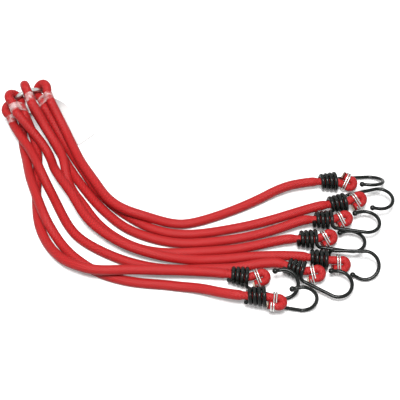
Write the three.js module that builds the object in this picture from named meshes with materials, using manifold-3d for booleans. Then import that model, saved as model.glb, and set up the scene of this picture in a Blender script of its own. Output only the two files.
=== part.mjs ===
// Eight-arm bungee strap, laid out on a flat surface: four elastic cords are folded over one steel ring,
// a film sleeve ties the two legs of each fold, and each of the eight legs ends in a one-wire hook whose
// conical coil grips the cord, with the cord's end folded back and tied by a two-turn wire clip.
// Millimetres, +Z up, origin at the middle of the footprint on the surface.
import * as THREE from 'three';
import { mergeVertices } from 'three/addons/utils/BufferGeometryUtils.js';
import Module from 'manifold-3d';

// Fits
const clearance = 0.3;

// Elastic cord
const cordDiameter = 8;
const cordSides = 8;
const cordStep = 13;
const restCut = cordDiameter / 10;
const gripDiameter = 6.4;
const neckLength = 4;
const leadLength = 6;
const foldRadius = 3.4;
const loopRadius = 3.9;
const loopCordDiameter = 5.8;
const foldSteps = 8;
const coreDiameter = 4.2;
const coreLength = 1.5;

// Gathering ring
const ringRadius = 17;
const ringWire = 4;
const ringLeanDegrees = 10;
const ringHeadingDegrees = -66;
const ringSeat = [-155, 98];
const ringSteps = 40;
const ringSides = 8;

// Cord folds over the ring, from the lower left over the top to the right
const foldAngles = [-98, -50, -4, 46];
const crownSteps = 6;
const taperLength = 7;
const taperSteps = 4;
const tiedGap = 0.6;

// Film sleeve that ties the two legs of a fold
const sleeveLength = 8;
const sleeveWall = 0.5;
const sleeveSteps = 6;

// Wire hook with its conical coil
const hookWire = 3.2;
const hookSides = 6;
const coilTurns = 4;
const coilPitch = 3.6;
const coilSteps = 12;
const coilWideRadius = 7.2;
const coilLiftHigh = 4;
const coilLiftLow = 2;
const shankBendRadius = 4;
const shankBendSteps = 4;
const hookBendRadius = 11.2;
const hookBendPlace = 44.6;
const hookBendDegrees = 200;
const hookBendSteps = 12;
const tipStraight = 3;
const tipBallDiameter = 4.6;
const tipBallSteps = 4;

// Two-turn wire clip on the folded end
const clipWire = 1.4;
const clipSides = 5;
const clipTurns = 2;
const clipPitch = 1.9;
const clipPlace = 23.2;
const clipArcSteps = 5;

// Bare tag on the sleeve of the fourth fold
const tagThickness = 0.6;
const tagStraight = 5;
const tagSteps = 12;
const tagHalfWidth = 11;
const tagNeckShare = 0.3;
const tagFlareShare = 0.6;
const tagRoute = [
  [-128, 95, 13],
  [-121, 87, 5],
  [-113, 79, 1],
  [-103, 69, 0],
];

// Routes of the cord's axis, seen from above, with the height over its lying axis as the third number.
// Each begins past the sleeve and ends at the mouth of its coil, whose axis has a height of its own.
const arms = [
  {
    fold: 3, side: 1, heading: 1, swivel: 147, folded: 38, tilt: -28, lift: 0, mouth: [100, 13],
    route: [
      [-128, 79, 20], [-121, 67, 14], [-112, 49, 10], [-106, 36, 9], [-99, 24, 9], [-89, 9, 9],
      [-81, -5, 9], [-71, -15, 9], [-59, -22, 9], [-46, -25, 7], [-33, -27, 3], [-17, -29, 0],
      [0, -25, 0], [17, -18, 0], [34, -11, 1], [51, -2, 2], [64, 5, 4], [76, 10, 5],
    ],
  },
  {
    fold: 3, side: -1, heading: 8, swivel: 176, folded: 218, tilt: -25, lift: coilLiftHigh, mouth: [105, -15],
    route: [
      [-132, 76, 12], [-125, 66, 5], [-117, 53, 1], [-109, 40, 0], [-100, 25, 0], [-90, 9, 0],
      [-79, -4, 0], [-69, -14, 0], [-58, -22, 0], [-45, -31, 0], [-33, -36, 0], [-16, -39, 0],
      [0, -38, 0], [12, -36, 0], [25, -33, 0], [41, -30, 1], [58, -26, 3], [75, -22, 6], [89, -18, 8],
    ],
  },
  {
    fold: 2, side: -1, heading: -3, swivel: -4, folded: 218, tilt: -28, lift: coilLiftLow, mouth: [91, -29],
    route: [
      [-142, 74, 15], [-135, 66, 7], [-128, 55, 2], [-119, 40, 0], [-110, 24, 0], [-99, 8, 0],
      [-89, -6, 0], [-78, -18, 0], [-67, -29, 0], [-58, -35, 0], [-45, -41, 0], [-33, -45, 0],
      [-16, -48, 0], [0, -47, 0], [12, -46, 0], [24, -44, 0], [41, -41, 1], [56, -38, 3],
      [71, -33, 5],
    ],
  },
  {
    fold: 2, side: 1, heading: -3, swivel: -7, folded: 218, tilt: -30, lift: 0, mouth: [77, -47],
    route: [
      [-143, 73, 28], [-137, 65, 18], [-130, 55, 12], [-122, 44, 9], [-118, 31, 8], [-116, 18, 2],
      [-109, 5, 0], [-99, -8, 0], [-92, -20, 0], [-84, -30, 0], [-73, -40, 0], [-61, -48, 0],
      [-48, -54, 0], [-32, -57, 0], [-16, -57, 0], [0, -56, 0], [12, -55, 0], [24, -54, 0],
      [41, -52, 2], [57, -49, 4],
    ],
  },
  {
    fold: 1, side: 1, heading: -10, swivel: 213, folded: 218, tilt: -8, lift: 0, mouth: [86, -65],
    route: [
      [-158, 70, 24], [-150, 64, 16], [-141, 56, 8], [-133, 46, 2], [-130, 35, 2], [-126, 24, 8],
      [-118, 11, 9], [-110, 0, 9], [-104, -11, 9], [-98, -23, 9], [-91, -32, 9], [-83, -40, 9],
      [-72, -48, 9], [-60, -56, 9], [-48, -60, 8], [-32, -64, 6], [-16, -65, 3], [0, -64, 0],
      [20, -63, 0], [40, -61, 1], [55, -61, 2], [69, -62, 4],
    ],
  },
  {
    fold: 0, side: 1, heading: -24, swivel: 7, folded: 218, tilt: -30, lift: 0, mouth: [66, -72],
    route: [
      [-164, 67, 11], [-156, 56, 9], [-148, 44, 9], [-142, 31, 9], [-137, 21, 7], [-132, 12, 2],
      [-127, 4, 0], [-123, -5, 0], [-118, -15, 0], [-113, -25, 0], [-107, -35, 0], [-100, -43, 0],
      [-93, -48, 0], [-85, -53, 0], [-76, -58, 0], [-68, -62, 0], [-58, -66, 0], [-48, -69, 0],
      [-36, -72, 0], [-24, -73, 0], [-12, -73, 0], [0, -73, 0], [12, -72, 0], [24, -72, 0],
      [38, -71, 2], [50, -69, 4],
    ],
  },
  {
    fold: 1, side: -1, heading: -12, swivel: 35, folded: 218, tilt: -30, lift: 0, mouth: [21, -81],
    route: [
      [-153, 73, 12], [-149, 65, 5], [-147, 57, 2], [-144, 46, 0], [-143, 33, 0], [-142, 19, 0],
      [-141, 6, 0], [-139, -8, 0], [-137, -21, 0], [-133, -34, 0], [-128, -44, 0], [-121, -55, 2],
      [-114, -64, 5], [-106, -71, 7], [-96, -76, 9], [-88, -79, 9], [-78, -80, 9], [-66, -79, 9],
      [-55, -79, 9], [-43, -78, 8], [-31, -79, 8], [-19, -79, 8], [-7, -79, 7], [5, -79, 6],
    ],
  },
  {
    fold: 0, side: -1, heading: -4, swivel: 70, folded: 182, tilt: 4, lift: coilLiftHigh, mouth: [33, -103],
    route: [
      [-160, 74, 5], [-161, 65, 0], [-158, 55, 0], [-154, 43, 1], [-151, 32, 4], [-147, 17, 7],
      [-142, 5, 9], [-138, -6, 9], [-133, -17, 9], [-129, -27, 7], [-124, -34, 3], [-117, -44, 0],
      [-110, -54, 0], [-103, -61, 0], [-94, -68, 0], [-86, -74, 0], [-78, -78, 0], [-69, -81, 0],
      [-59, -84, 0], [-47, -86, 0], [-31, -87, 0], [-16, -89, 0], [-1, -92, 3], [11, -97, 6],
      [20, -101, 8],
    ],
  },
];

// Worked out from the sizes above
const cordRadius = cordDiameter / 2;
const gripRadius = gripDiameter / 2;
const ringWireRadius = ringWire / 2;
const hookWireRadius = hookWire / 2;
const clipWireRadius = clipWire / 2;
const lyingHeight = cordRadius - restCut;
const wrapRadius = ringWireRadius + clearance + cordRadius;
const legOffset = cordRadius + tiedGap / 2;
const sleeveBore = cordRadius + clearance;
const sleeveStart = taperLength + clearance;
const sleeveEnd = sleeveStart + sleeveLength;
const legExit = sleeveEnd + cordRadius / 2;
const coilMouthRadius = gripRadius + clearance + hookWireRadius;
const coilStart = hookWireRadius + clearance;
const coilEnd = coilStart + coilTurns * coilPitch;
const mouthHeight = coilWideRadius + hookWireRadius + clearance / 3;
const cutEnd = coilEnd + hookWireRadius + clearance + coreLength + clearance;
const clipRadius = gripRadius + clearance + clipWireRadius;
const foldPlace = clipPlace + (clipTurns * clipPitch) / 2 + clipWireRadius;
const loopCordRadius = loopCordDiameter / 2;
const loopPlace = foldPlace + 2 * (loopRadius - foldRadius) + clearance;
const radians = THREE.MathUtils.degToRad;

const wasm = await Module();
wasm.setup();

const red = { color: 0xd22d32, roughness: 0.75, metalness: 0 };
const black = { color: 0x181b1a, roughness: 0.4, metalness: 0 };
const steel = { color: 0xc9cbcc, roughness: 0.25, metalness: 1 };
const film = { color: 0xe6d2cd, roughness: 0.3, metalness: 0 };
const rubber = { color: 0xcdbfa9, roughness: 0.85, metalness: 0 };
const paper = { color: 0xf4f4f2, roughness: 0.6, metalness: 0 };

function namedMesh(name, geometry, finish) {
  const mesh = new THREE.Mesh(geometry, new THREE.MeshStandardMaterial(finish));
  mesh.name = name;
  return mesh;
}

// Closed tube through stations {point, radius}: the section is carried along without twist, both ends capped.
function sweep(stations, sides) {
  const count = stations.length;
  const tangents = stations.map((station, i) => {
    const before = stations[Math.max(i - 1, 0)].point;
    const after = stations[Math.min(i + 1, count - 1)].point;
    return after.clone().sub(before).normalize();
  });
  const across = Math.abs(tangents[0].z) < Math.SQRT1_2 ? new THREE.Vector3(0, 0, 1) : new THREE.Vector3(1, 0, 0);
  let normal = across.addScaledVector(tangents[0], -across.dot(tangents[0])).normalize();
  const positions = [];
  const indices = [];
  stations.forEach(({ point, radius }, i) => {
    if (i > 0) {
      const turn = new THREE.Quaternion().setFromUnitVectors(tangents[i - 1], tangents[i]);
      normal = normal.clone().applyQuaternion(turn);
    }
    const binormal = tangents[i].clone().cross(normal);
    for (let k = 0; k < sides; k += 1) {
      const angle = ((k + 1 / 2) * 2 * Math.PI) / sides;
      const corner = point.clone();
      corner.addScaledVector(normal, radius * Math.cos(angle));
      corner.addScaledVector(binormal, radius * Math.sin(angle));
      positions.push(corner.x, corner.y, corner.z);
    }
  });
  for (let i = 0; i < count - 1; i += 1) {
    for (let k = 0; k < sides; k += 1) {
      const next = (k + 1) % sides;
      const a = i * sides + k;
      const b = i * sides + next;
      indices.push(a, b, b + sides, a, b + sides, a + sides);
    }
  }
  const last = (count - 1) * sides;
  for (let k = 1; k < sides - 1; k += 1) {
    indices.push(0, k + 1, k);
    indices.push(last, last + k, last + k + 1);
  }
  const geometry = new THREE.BufferGeometry();
  geometry.setAttribute('position', new THREE.Float32BufferAttribute(positions, 3));
  geometry.setIndex(indices);
  return geometry;
}

// Least distance between points of a wound wire that are more than half a turn apart, less its thickness.
function leastGap(points, stepsPerTurn, wire) {
  let least = Infinity;
  points.forEach((point, i) => {
    for (let j = i + Math.ceil(stepsPerTurn / 2) + 1; j < points.length; j += 1) {
      least = Math.min(least, point.distanceTo(points[j]));
    }
  });
  return least - wire;
}

function toSolid(geometry) {
  const bare = new THREE.BufferGeometry();
  bare.setAttribute('position', geometry.getAttribute('position'));
  bare.setIndex(geometry.getIndex());
  const merged = mergeVertices(bare);
  const vertProperties = new Float32Array(merged.getAttribute('position').array);
  const triVerts = new Uint32Array(merged.getIndex().array);
  return new wasm.Manifold(new wasm.Mesh({ numProp: 3, vertProperties, triVerts }));
}

function toGeometry(solid) {
  const mesh = solid.getMesh();
  const geometry = new THREE.BufferGeometry();
  geometry.setAttribute('position', new THREE.Float32BufferAttribute(mesh.vertProperties, 3));
  geometry.setIndex(Array.from(mesh.triVerts));
  return geometry;
}

// Takes away what lies below the surface, so that the cord rests on flats.
function cutFlat(geometry) {
  geometry.computeBoundingBox();
  const size = geometry.boundingBox.getSize(new THREE.Vector3());
  const middle = geometry.boundingBox.getCenter(new THREE.Vector3());
  const block = new THREE.BoxGeometry(size.x + cordDiameter, size.y + cordDiameter, cordDiameter);
  block.translate(middle.x, middle.y, -cordRadius);
  return toGeometry(toSolid(geometry).subtract(toSolid(block)));
}

// Ring plane: `lateral` runs along the surface, `rise` up the leaning ring, `outward` to the arms.
const ringFrame = (() => {
  const heading = radians(ringHeadingDegrees);
  const lean = radians(ringLeanDegrees);
  const ahead = new THREE.Vector3(Math.cos(heading), Math.sin(heading), 0);
  const up = new THREE.Vector3(0, 0, 1);
  const lateral = new THREE.Vector3(-ahead.y, ahead.x, 0);
  const rise = up.clone().multiplyScalar(Math.cos(lean)).addScaledVector(ahead, Math.sin(lean));
  const outward = ahead.clone().multiplyScalar(Math.cos(lean)).addScaledVector(up, -Math.sin(lean));
  const height = ringWireRadius + ringRadius * Math.cos(lean);
  return { lateral, rise, outward, centre: new THREE.Vector3(...ringSeat, height) };
})();

// A fold's place on the ring: the wire's point there and the direction away from the ring's centre.
const folds = foldAngles.map((degrees) => {
  const angle = radians(degrees);
  const radial = ringFrame.lateral.clone().multiplyScalar(Math.sin(angle));
  radial.addScaledVector(ringFrame.rise, Math.cos(angle));
  return { radial, seat: ringFrame.centre.clone().addScaledVector(radial, ringRadius) };
});

function foldPoint({ seat, radial }, along, offset) {
  return seat.clone().addScaledVector(ringFrame.outward, along).addScaledVector(radial, offset);
}

function gatheringRing() {
  const ring = new THREE.TorusGeometry(ringRadius, ringWireRadius, ringSides, ringSteps);
  const mesh = namedMesh('ring', ring, steel);
  mesh.quaternion.setFromUnitVectors(new THREE.Vector3(0, 0, 1), ringFrame.outward);
  mesh.position.copy(ringFrame.centre);
  return mesh;
}

// The two legs of a fold close in from the width of the wrap to side by side within the taper.
function legOffsetAt(along) {
  const share = (1 + Math.cos((Math.PI * along) / taperLength)) / 2;
  return legOffset + (wrapRadius - legOffset) * share;
}

function crownStations(fold) {
  const stations = [];
  const add = (along, offset) => stations.push({ point: foldPoint(fold, along, offset), radius: cordRadius });
  add(legExit, -legOffset);
  for (let i = taperSteps; i > 0; i -= 1) {
    const along = (taperLength * i) / taperSteps;
    add(along, -legOffsetAt(along));
  }
  for (let i = 0; i <= crownSteps; i += 1) {
    const angle = (Math.PI * i) / crownSteps;
    add(-wrapRadius * Math.sin(angle), -wrapRadius * Math.cos(angle));
  }
  for (let i = 1; i <= taperSteps; i += 1) {
    const along = (taperLength * i) / taperSteps;
    add(along, legOffsetAt(along));
  }
  add(legExit, legOffset);
  return stations;
}

// Frame of a cord's end: origin at the mouth of the coil, X along the cord, Z up.
function terminalFrame(arm) {
  const frame = new THREE.Group();
  frame.position.set(...arm.mouth, mouthHeight + arm.lift);
  frame.rotation.z = radians(arm.heading);
  frame.updateMatrix();
  return frame;
}

// Frame of the tied end: turned about the cord to the side of the fold, then tilted where it leaves the coil.
function knotFrame(arm) {
  const knot = new THREE.Group();
  knot.rotation.set(radians(arm.folded), 0, radians(arm.tilt), 'XYZ');
  knot.position.set(-coilEnd, 0, 0).applyEuler(knot.rotation).add(new THREE.Vector3(coilEnd, 0, 0));
  knot.updateMatrix();
  return knot;
}

// The cord narrows to the coil, runs through it and folds back on itself; X runs along the cord.
function knotStations(arm) {
  const frame = terminalFrame(arm);
  const tied = frame.matrix.clone().multiply(knotFrame(arm).matrix);
  const stations = [];
  const add = (along, aside, radius) => {
    const matrix = along < coilEnd && aside === 0 ? frame.matrix : tied;
    stations.push({ point: new THREE.Vector3(along, aside, 0).applyMatrix4(matrix), radius });
  };
  add(-leadLength, 0, cordRadius);
  add(-neckLength, 0, cordRadius);
  add(-clearance, 0, gripRadius);
  add(coilEnd, 0, gripRadius);
  add(foldPlace, 0, gripRadius);
  for (let i = 0; i <= foldSteps; i += 1) {
    const angle = (Math.PI * i) / foldSteps;
    add(loopPlace + loopRadius * Math.sin(angle), foldRadius - loopRadius * Math.cos(angle), loopCordRadius);
  }
  add(foldPlace, 2 * foldRadius, gripRadius);
  add(cutEnd, 2 * foldRadius, gripRadius);
  return stations;
}

// Stations along the free stretch between sleeve and coil, evenly spaced.
function routeStations(arm) {
  const fold = folds[arm.fold];
  const points = [foldPoint(fold, legExit, arm.side * legOffset)];
  arm.route.forEach(([x, y, height]) => points.push(new THREE.Vector3(x, y, lyingHeight + height)));
  points.push(new THREE.Vector3(-leadLength, 0, 0).applyMatrix4(terminalFrame(arm).matrix));
  const curve = new THREE.CatmullRomCurve3(points, false, 'centripetal');
  const steps = Math.round(curve.getLength() / cordStep);
  return curve.getSpacedPoints(steps).slice(1, -1).map((point) => {
    point.z = Math.max(point.z, lyingHeight);
    return { point, radius: cordRadius };
  });
}

function pathLength(stations) {
  return stations.slice(1).reduce((sum, { point }, i) => sum + point.distanceTo(stations[i].point), 0);
}

function foldedCord(number) {
  const [inner, outer] = [-1, 1].map((side) => arms.find((arm) => arm.fold === number && arm.side === side));
  const stations = [
    ...knotStations(inner).reverse(),
    ...routeStations(inner).reverse(),
    ...crownStations(folds[number]),
    ...routeStations(outer),
    ...knotStations(outer),
  ];
  console.log(`cord_${number + 1}: axis ${pathLength(stations).toFixed(0)} mm, ${stations.length} stations`);
  return namedMesh(`cord_${number + 1}`, cutFlat(sweep(stations, cordSides)), red);
}

function racetrack(halfLength, radius, steps) {
  const points = [];
  [0, Math.PI].forEach((turn) => {
    for (let i = 0; i <= steps; i += 1) {
      const angle = turn - Math.PI / 2 + (Math.PI * i) / steps;
      const centre = turn === 0 ? halfLength : -halfLength;
      points.push(new THREE.Vector2(centre + radius * Math.cos(angle), radius * Math.sin(angle)));
    }
  });
  return points;
}

function filmSleeve(number) {
  const fold = folds[number];
  const shape = new THREE.Shape(racetrack(legOffset, sleeveBore + sleeveWall, sleeveSteps));
  shape.holes.push(new THREE.Path(racetrack(legOffset, sleeveBore, sleeveSteps)));
  const geometry = new THREE.ExtrudeGeometry(shape, { depth: sleeveLength, bevelEnabled: false });
  const mesh = namedMesh(`sleeve_${number + 1}`, geometry, film);
  const side = ringFrame.outward.clone().cross(fold.radial);
  mesh.quaternion.setFromRotationMatrix(new THREE.Matrix4().makeBasis(fold.radial, side, ringFrame.outward));
  mesh.position.copy(foldPoint(fold, sleeveStart, 0));
  return mesh;
}

// One wire: straight end, conical coil, bend into the shank, open hook and ball tip, in the XY plane.
function hookStations() {
  const points = [];
  const lastAngle = Math.PI - Math.atan(shankBendRadius / coilWideRadius);
  const firstAngle = lastAngle - 2 * Math.PI * coilTurns;
  const steps = coilTurns * coilSteps;
  for (let i = 0; i <= steps; i += 1) {
    const share = i / steps;
    const angle = firstAngle + (lastAngle - firstAngle) * share;
    const radius = coilMouthRadius + (coilWideRadius - coilMouthRadius) * share;
    const along = coilStart + (coilEnd - coilStart) * share;
    points.push(new THREE.Vector3(along, radius * Math.cos(angle), radius * Math.sin(angle)));
  }
  const lead = points[0].clone().sub(points[1]).setLength(hookWire);
  points.unshift(points[0].clone().add(lead));
  const tangent = new THREE.Vector3(0, -Math.sin(lastAngle), Math.cos(lastAngle));
  const coilLast = points[points.length - 1].clone();
  for (let i = 1; i <= shankBendSteps; i += 1) {
    const angle = ((Math.PI / 2) * i) / shankBendSteps;
    const point = coilLast.clone().addScaledVector(tangent, shankBendRadius * Math.sin(angle));
    point.x += shankBendRadius * (1 - Math.cos(angle));
    points.push(point);
  }
  for (let i = 0; i <= hookBendSteps; i += 1) {
    const angle = radians((hookBendDegrees * i) / hookBendSteps) - Math.PI / 2;
    const place = new THREE.Vector3(hookBendPlace, 0, 0);
    place.x += hookBendRadius * Math.cos(angle);
    place.y += hookBendRadius * Math.sin(angle);
    points.push(place);
  }
  const stations = points.map((point) => ({ point, radius: hookWireRadius }));
  const endAngle = radians(hookBendDegrees);
  const back = new THREE.Vector3(Math.cos(endAngle), Math.sin(endAngle), 0);
  const neck = points[points.length - 1].clone().addScaledVector(back, tipStraight);
  stations.push({ point: neck, radius: hookWireRadius });
  const ball = tipBallDiameter / 2;
  const firstBall = Math.asin(hookWire / tipBallDiameter);
  for (let i = 1; i <= tipBallSteps; i += 1) {
    const angle = firstBall + ((Math.PI - firstBall) * i) / (tipBallSteps + 1 / 2);
    const shift = ball * (Math.cos(firstBall) - Math.cos(angle));
    stations.push({ point: neck.clone().addScaledVector(back, shift), radius: ball * Math.sin(angle) });
  }
  const gap = leastGap(points.slice(0, steps + 2), coilSteps, hookWire);
  console.log(`hook wire: least gap of the coil to itself ${gap.toFixed(2)} mm`);
  return stations;
}

// Wire wound round both strands of the folded end, on a racetrack whose long side runs along +Y.
function clipStations() {
  const loop = racetrack(foldRadius, clipRadius, clipArcSteps);
  const perTurn = loop.length;
  const first = clipPlace - (clipTurns * clipPitch) / 2;
  const points = [];
  for (let i = 0; i <= clipTurns * perTurn; i += 1) {
    const corner = loop[i % perTurn];
    const along = first + (clipPitch * i) / perTurn;
    points.push(new THREE.Vector3(along, foldRadius + corner.x, corner.y));
  }
  const gap = leastGap(points, perTurn, clipWire);
  console.log(`end clip: least gap of its turns ${gap.toFixed(2)} mm`);
  return points.map((point) => ({ point, radius: clipWireRadius }));
}

const hookGeometry = sweep(hookStations(), hookSides);
const clipGeometry = sweep(clipStations(), clipSides);

function terminal(arm, number) {
  const frame = terminalFrame(arm);
  const hook = namedMesh(`hook_${number}`, hookGeometry.clone(), black);
  hook.rotation.x = radians(arm.swivel);
  const knot = knotFrame(arm);
  const core = new THREE.CylinderGeometry(coreDiameter / 2, coreDiameter / 2, coreLength, cordSides);
  core.rotateZ(Math.PI / 2);
  core.translate(cutEnd - clearance - coreLength / 2, 2 * foldRadius, 0);
  knot.add(namedMesh(`end_clip_${number}`, clipGeometry.clone(), steel));
  knot.add(namedMesh(`core_end_${number}`, core, rubber));
  frame.add(hook, knot);
  return frame;
}

// Thin sheet from the fourth sleeve down to the surface, narrow at the sleeve and wide where it lies.
function bareTag() {
  const fold = folds[folds.length - 1];
  const away = fold.radial.clone().cross(ringFrame.outward);
  const middle = foldPoint(fold, (sleeveStart + sleeveEnd) / 2, 0);
  const root = middle.addScaledVector(away, sleeveBore + sleeveWall + clearance);
  const points = [root, root.clone().addScaledVector(away, tagStraight)];
  tagRoute.forEach(([x, y, height]) => points.push(new THREE.Vector3(x, y, height + tagThickness)));
  const curve = new THREE.CatmullRomCurve3(points, false, 'centripetal');
  const along = curve.getSpacedPoints(tagSteps);
  const run = along[tagSteps].clone().sub(along[tagSteps - 1]).setZ(0).normalize();
  const wide = new THREE.Vector3(-run.y, run.x, 0);
  const positions = [];
  const indices = [];
  along.forEach((point, i) => {
    const tangent = curve.getTangentAt(i / tagSteps);
    const across = wide.clone().addScaledVector(tangent, -wide.dot(tangent)).normalize();
    const thick = tangent.clone().cross(across);
    const share = THREE.MathUtils.smoothstep(i / tagSteps, 0, tagFlareShare);
    const half = tagHalfWidth * (tagNeckShare + (1 - tagNeckShare) * share);
    [[-1, -1], [1, -1], [1, 1], [-1, 1]].forEach(([w, t]) => {
      const corner = point.clone().addScaledVector(across, w * half);
      corner.addScaledVector(thick, (t * tagThickness) / 2);
      positions.push(corner.x, corner.y, corner.z);
    });
  });
  for (let i = 0; i < tagSteps; i += 1) {
    for (let k = 0; k < 4; k += 1) {
      const a = i * 4 + k;
      const b = i * 4 + ((k + 1) % 4);
      indices.push(a, b, b + 4, a, b + 4, a + 4);
    }
  }
  const last = tagSteps * 4;
  indices.push(0, 2, 1, 0, 3, 2, last, last + 1, last + 2, last, last + 2, last + 3);
  const geometry = new THREE.BufferGeometry();
  geometry.setAttribute('position', new THREE.Float32BufferAttribute(positions, 3));
  geometry.setIndex(indices);
  return namedMesh('tag', geometry, paper);
}

const strap = new THREE.Group();
strap.add(gatheringRing());
folds.forEach((fold, number) => strap.add(foldedCord(number), filmSleeve(number)));
arms.forEach((arm, index) => strap.add(terminal(arm, index + 1)));
strap.add(bareTag());

const footprint = new THREE.Box3().setFromObject(strap, true).getCenter(new THREE.Vector3());
strap.position.set(-footprint.x, -footprint.y, 0);

const model = new THREE.Group();
model.add(strap);

export default model;
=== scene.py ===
# %% [markdown]
# # Eight-arm bungee strap
# Four red elastic cords are folded over one steel ring, so eight arms leave it. A film sleeve ties the two legs of
# each fold. Every arm ends in a black hook that is one coated wire: its conical coil grips the cord, and the cord's
# end is folded back and tied with a small wire clip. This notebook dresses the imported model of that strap.

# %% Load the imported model
import math
from random import Random

import bmesh
import bpy
from mathutils import Matrix, Vector


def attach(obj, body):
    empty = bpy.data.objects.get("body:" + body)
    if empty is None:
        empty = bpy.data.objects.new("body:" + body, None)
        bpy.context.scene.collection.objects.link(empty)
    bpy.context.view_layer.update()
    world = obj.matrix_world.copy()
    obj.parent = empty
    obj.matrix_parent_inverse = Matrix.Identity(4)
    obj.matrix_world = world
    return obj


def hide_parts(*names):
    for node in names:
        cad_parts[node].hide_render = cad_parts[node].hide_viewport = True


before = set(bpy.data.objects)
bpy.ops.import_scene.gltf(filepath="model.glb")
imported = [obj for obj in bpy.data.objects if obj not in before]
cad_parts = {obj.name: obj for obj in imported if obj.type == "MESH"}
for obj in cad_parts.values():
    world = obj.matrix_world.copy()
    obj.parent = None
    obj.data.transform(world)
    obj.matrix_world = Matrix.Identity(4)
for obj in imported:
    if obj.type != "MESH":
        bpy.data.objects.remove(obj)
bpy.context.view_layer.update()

MM = 0.001

# %% [markdown]
# ## The camera
# The strap was photographed from 52 degrees above the table, at about 0.7 m. All points below are counted from the
# spot that the camera looks at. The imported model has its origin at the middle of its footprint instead, so `placed`
# adds that step to every point, and `put` brings a new object into the scene. The lens follows from its focal length,
# counted in picture points, and a shift of one point keeps the leftmost fold inside the picture.

# %% Camera
STRAP_SHIFT = Vector((9.316, 3.02, 0.0)) * MM
VIEW_ELEVATION = math.radians(52)
VIEW_DISTANCE = 724 * MM
FOCAL_PIXELS = 847.06
PICTURE_PIXELS = 400
SHIFT_PIXELS = 1
SENSOR_WIDTH = 36
NEAR_LIMIT = 10 * MM


def placed(x, y, z):
    return Vector((x, y, z)) * MM + STRAP_SHIFT


def put(name, data):
    thing = bpy.data.objects.new(name, data)
    bpy.context.scene.collection.objects.link(thing)
    return thing


camera = put("camera", bpy.data.cameras.new("camera"))
camera.data.sensor_width = SENSOR_WIDTH
camera.data.lens = FOCAL_PIXELS / PICTURE_PIXELS * SENSOR_WIDTH
camera.location = STRAP_SHIFT + VIEW_DISTANCE * Vector((0, -math.cos(VIEW_ELEVATION), math.sin(VIEW_ELEVATION)))
camera.rotation_euler = (math.pi / 2 - VIEW_ELEVATION, 0, 0)
camera.data.clip_start = NEAR_LIMIT
camera.data.shift_x = -SHIFT_PIXELS / PICTURE_PIXELS
bpy.context.scene.camera = camera
print("lens in mm:", round(camera.data.lens, 2))

# %% [markdown]
# ## The sizes of the strap
# These are the sizes of the solids: an 8 mm cord that narrows to 6.4 mm where a coil grips it, a 34 mm ring of 4 mm
# wire, and hooks of 3.2 mm wire. A fold sits at an angle on the ring, counted from its top. The thin wires of the
# solids have five or six sides, so a round wire that takes the same room is a little thinner than their corners, and
# the three `ROUND` sizes are its radii. In the coil it is thicker, because the coating gathers between the turns.

# %% Sizes in millimetres
CLEARANCE = 0.3
CORD_RADIUS = 4.0
GRIP_RADIUS = 3.2
LYING_HEIGHT = 3.2
NECK_LENGTH = 4
LEAD_LENGTH = 6
FOLD_RADIUS = 3.4
LOOP_RADIUS = 3.7
LOOP_CORD_RADIUS = 3.2
RING_RADIUS = 17
RING_WIRE = 2.0
RING_LEAN = math.radians(10)
RING_HEADING = math.radians(-66)
RING_SEAT = (-155, 98)
FOLD_ANGLES = (-98, -50, -4, 46)
CORD_COUNT = len(FOLD_ANGLES)
TAPER_LENGTH = 7
LEG_OFFSET = 4.3
WRAP_RADIUS = RING_WIRE + CLEARANCE + CORD_RADIUS
SLEEVE_START = TAPER_LENGTH + CLEARANCE
SLEEVE_LENGTH = 8
SLEEVE_END = SLEEVE_START + SLEEVE_LENGTH
LEG_EXIT = SLEEVE_END + CORD_RADIUS / 2
HOOK_WIRE = 1.6
SHANK_ROUND = 1.47
COIL_ROUND = 1.68
COIL_TURNS = 4
COIL_PITCH = 3.6
COIL_MOUTH_RADIUS = GRIP_RADIUS + CLEARANCE + HOOK_WIRE
COIL_WIDE_RADIUS = 7.2
COIL_START = HOOK_WIRE + CLEARANCE
COIL_END = COIL_START + COIL_TURNS * COIL_PITCH
MOUTH_HEIGHT = COIL_WIDE_RADIUS + HOOK_WIRE + CLEARANCE / 3
CORE_LENGTH = 1.5
CUT_END = COIL_END + HOOK_WIRE + CLEARANCE + CORE_LENGTH + CLEARANCE
CLIP_WIRE = 0.7
CLIP_ROUND = 0.61
CLIP_TURNS = 2
CLIP_PITCH = 1.9
CLIP_PLACE = 23.2
CLIP_RADIUS = GRIP_RADIUS + CLEARANCE + CLIP_WIRE
FOLD_PLACE = CLIP_PLACE + CLIP_TURNS * CLIP_PITCH / 2 + CLIP_WIRE
LOOP_PLACE = FOLD_PLACE + 2 * (LOOP_RADIUS - FOLD_RADIUS) + CLEARANCE
print("coil from", COIL_START, "to", round(COIL_END, 1), "mm, fold at", round(FOLD_PLACE, 1), "mm")

# %% [markdown]
# ## The routes of the eight arms
# A free cord is a fixed length of something that bends easily. Each arm is a short list of places that its middle
# line passes, seen from above, and the third number is how far it is lifted off the table, because arms cross over
# each other here. `mouth` is where the arm enters its coil, `heading` the way it points there, `swivel` how far the
# hook is turned about the cord, `folded` the side to which the cord's end is folded back, and `tilt` how far the
# tied end leans over where it leaves the coil.

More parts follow.
